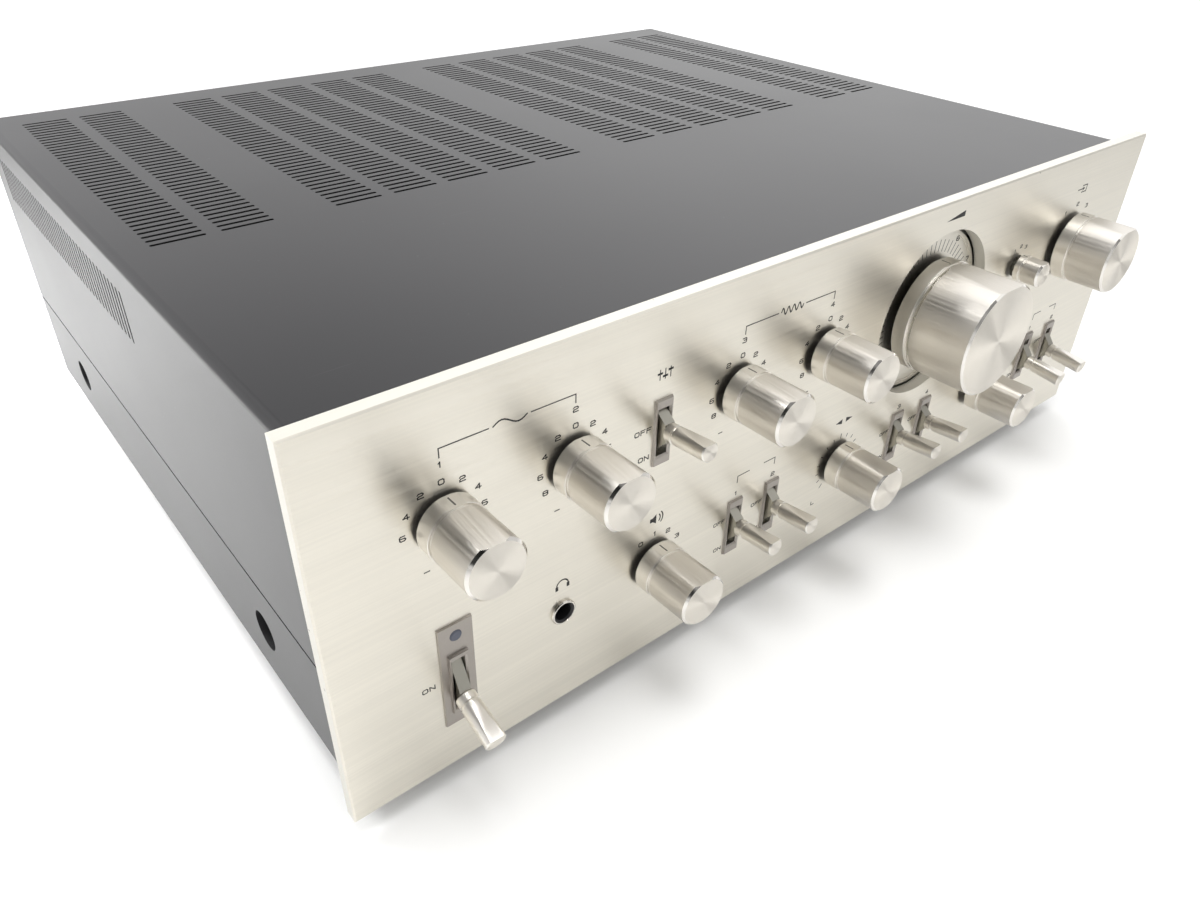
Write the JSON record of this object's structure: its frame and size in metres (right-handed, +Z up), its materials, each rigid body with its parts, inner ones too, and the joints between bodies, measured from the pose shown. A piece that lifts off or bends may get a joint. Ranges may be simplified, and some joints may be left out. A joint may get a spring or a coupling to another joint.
{
  "type": "stereo amplifier",
  "caption": "Stereo amplifier with a thick brushed front panel, turned knobs and bat levers, in a vented folded steel case with its chassis, supply, heat sinks and rear connectors",
  "frame": {"origin": "on the standing surface, under the middle of the whole amplifier", "axes": "+X to the right seen from the front, +Y to the rear, +Z up; the front panel faces -Y"},
  "size_m": [0.42, 0.3796, 0.15],
  "materials": {
    "panel_aluminium": "brushed along its length, warm silver",
    "knob_aluminium": "turned, with a spun end face",
    "case_paint": "satin dark grey",
    "plated_steel": "zinc plated",
    "foot_rubber": "matt",
    "core_varnish": "varnished laminations",
    "coil_copper": "wound copper under varnished paper",
    "sink_anodised": "black anodised",
    "can_sleeve": "shrink sleeve over a can",
    "board_laminate": "paper laminate",
    "nut_brass": "bright",
    "escutcheon_metal": "satin grey-brown",
    "bat_metal": "satin olive-grey",
    "lamp_lens": "smoked, bluish",
    "black_plastic": "moulded",
    "nickel": "nickel plated"
  },
  "bodies": {
    "chassis": {"faceplate": "panel_aluminium", "top_cover": "case_paint", "bottom_tray": "case_paint", "front_chassis": "plated_steel", "rear_panel": "case_paint", "feet": "foot_rubber", "chassis_screws": "plated_steel", "transformer_core": "core_varnish", "transformer_coil": "coil_copper", "heat_sinks": "sink_anodised", "power_transistors": "plated_steel", "filter_capacitors": "can_sleeve", "amplifier_board": "board_laminate", "equalizer_board": "board_laminate", "rotary_controls": "plated_steel", "control_nuts": "nut_brass", "lever_switches": "plated_steel", "lever_escutcheons": "escutcheon_metal", "power_lamp": "lamp_lens", "headphone_jack": "black_plastic", "volume_dial": "panel_aluminium", "input_jacks": "nickel", "speaker_terminals": "black_plastic", "cord_bushing": "black_plastic"},
    "bass_low": {"bass_low_knob": "knob_aluminium", "bass_low_shaft": "plated_steel"},
    "bass_high": {"bass_high_knob": "knob_aluminium", "bass_high_shaft": "plated_steel"},
    "treble_low": {"treble_low_knob": "knob_aluminium", "treble_low_shaft": "plated_steel"},
    "treble_high": {"treble_high_knob": "knob_aluminium", "treble_high_shaft": "plated_steel"},
    "volume": {"volume_knob": "knob_aluminium", "volume_shaft": "plated_steel"},
    "balance": {"balance_knob": "knob_aluminium", "balance_shaft": "plated_steel"},
    "speaker": {"speaker_knob": "knob_aluminium", "speaker_shaft": "plated_steel"},
    "load": {"load_knob": "knob_aluminium", "load_shaft": "plated_steel"},
    "input": {"input_knob": "knob_aluminium", "input_shaft": "plated_steel"},
    "mode": {"mode_knob": "knob_aluminium", "mode_shaft": "plated_steel"},
    "power": {"power_lever": "bat_metal", "power_handle": "knob_aluminium"},
    "tone": {"tone_lever": "bat_metal", "tone_handle": "knob_aluminium"},
    "low_filter": {"low_filter_lever": "bat_metal", "low_filter_handle": "knob_aluminium"},
    "high_filter": {"high_filter_lever": "bat_metal", "high_filter_handle": "knob_aluminium"},
    "loudness": {"loudness_lever": "bat_metal", "loudness_handle": "knob_aluminium"},
    "muting": {"muting_lever": "bat_metal", "muting_handle": "knob_aluminium"},
    "monitor_1": {"monitor_1_lever": "bat_metal", "monitor_1_handle": "knob_aluminium"},
    "monitor_2": {"monitor_2_lever": "bat_metal", "monitor_2_handle": "knob_aluminium"}
  },
  "joints": [
    {"name": "bass_low_turn", "type": "hinge", "parent": "chassis", "child": "bass_low", "pos_m": [-0.1699, -0.16025, 0.1085], "axis": [0, 1, 0], "range_deg": [-90, 90]},
    {"name": "bass_high_turn", "type": "hinge", "parent": "chassis", "child": "bass_high", "pos_m": [-0.1253, -0.16025, 0.1085], "axis": [0, 1, 0], "range_deg": [-120, 120]},
    {"name": "treble_low_turn", "type": "hinge", "parent": "chassis", "child": "treble_low", "pos_m": [-0.0559, -0.16025, 0.1085], "axis": [0, 1, 0], "range_deg": [-120, 120]},
    {"name": "treble_high_turn", "type": "hinge", "parent": "chassis", "child": "treble_high", "pos_m": [-0.0113, -0.16025, 0.1085], "axis": [0, 1, 0], "range_deg": [-120, 120]},
    {"name": "volume_turn", "type": "hinge", "parent": "chassis", "child": "volume", "pos_m": [0.0575, -0.16025, 0.1028], "axis": [0, 1, 0], "range_deg": [-150, 150]},
    {"name": "balance_turn", "type": "hinge", "parent": "chassis", "child": "balance", "pos_m": [0.01, -0.16025, 0.051], "axis": [0, 1, 0], "range_deg": [-140, 140]},
    {"name": "speaker_turn", "type": "hinge", "parent": "chassis", "child": "speaker", "pos_m": [-0.0905, -0.16025, 0.051], "axis": [0, 1, 0], "range_deg": [-30, 60]},
    {"name": "load_turn", "type": "hinge", "parent": "chassis", "child": "load", "pos_m": [0.1175, -0.16025, 0.1085], "axis": [0, 1, 0], "range_deg": [-30, 30]},
    {"name": "input_turn", "type": "hinge", "parent": "chassis", "child": "input", "pos_m": [0.16, -0.16025, 0.1085], "axis": [0, 1, 0], "range_deg": [-30, 60]},
    {"name": "mode_turn", "type": "hinge", "parent": "chassis", "child": "mode", "pos_m": [0.11, -0.16025, 0.051], "axis": [0, 1, 0], "range_deg": [-30, 30]},
    {"name": "power_tilt", "type": "hinge", "parent": "chassis", "child": "power", "pos_m": [-0.1703, -0.14885, 0.0465], "axis": [1, 0, 0], "range_deg": [-37, 0]},
    {"name": "tone_tilt", "type": "hinge", "parent": "chassis", "child": "tone", "pos_m": [-0.0907, -0.14885, 0.1056], "axis": [1, 0, 0], "range_deg": [0, 12]},
    {"name": "low_filter_tilt", "type": "hinge", "parent": "chassis", "child": "low_filter", "pos_m": [-0.0505, -0.14885, 0.0474], "axis": [1, 0, 0], "range_deg": [0, 12]},
    {"name": "high_filter_tilt", "type": "hinge", "parent": "chassis", "child": "high_filter", "pos_m": [-0.0305, -0.14885, 0.0474], "axis": [1, 0, 0], "range_deg": [0, 12]},
    {"name": "loudness_tilt", "type": "hinge", "parent": "chassis", "child": "loudness", "pos_m": [0.0489, -0.14885, 0.0474], "axis": [1, 0, 0], "range_deg": [0, 12]},
    {"name": "muting_tilt", "type": "hinge", "parent": "chassis", "child": "muting", "pos_m": [0.0689, -0.14885, 0.0474], "axis": [1, 0, 0], "range_deg": [0, 12]},
    {"name": "monitor_1_tilt", "type": "hinge", "parent": "chassis", "child": "monitor_1", "pos_m": [0.1508, -0.14885, 0.0533], "axis": [1, 0, 0], "range_deg": [-12, 0]},
    {"name": "monitor_2_tilt", "type": "hinge", "parent": "chassis", "child": "monitor_2", "pos_m": [0.1708, -0.14885, 0.0533], "axis": [1, 0, 0], "range_deg": [-12, 0]}
  ]
}
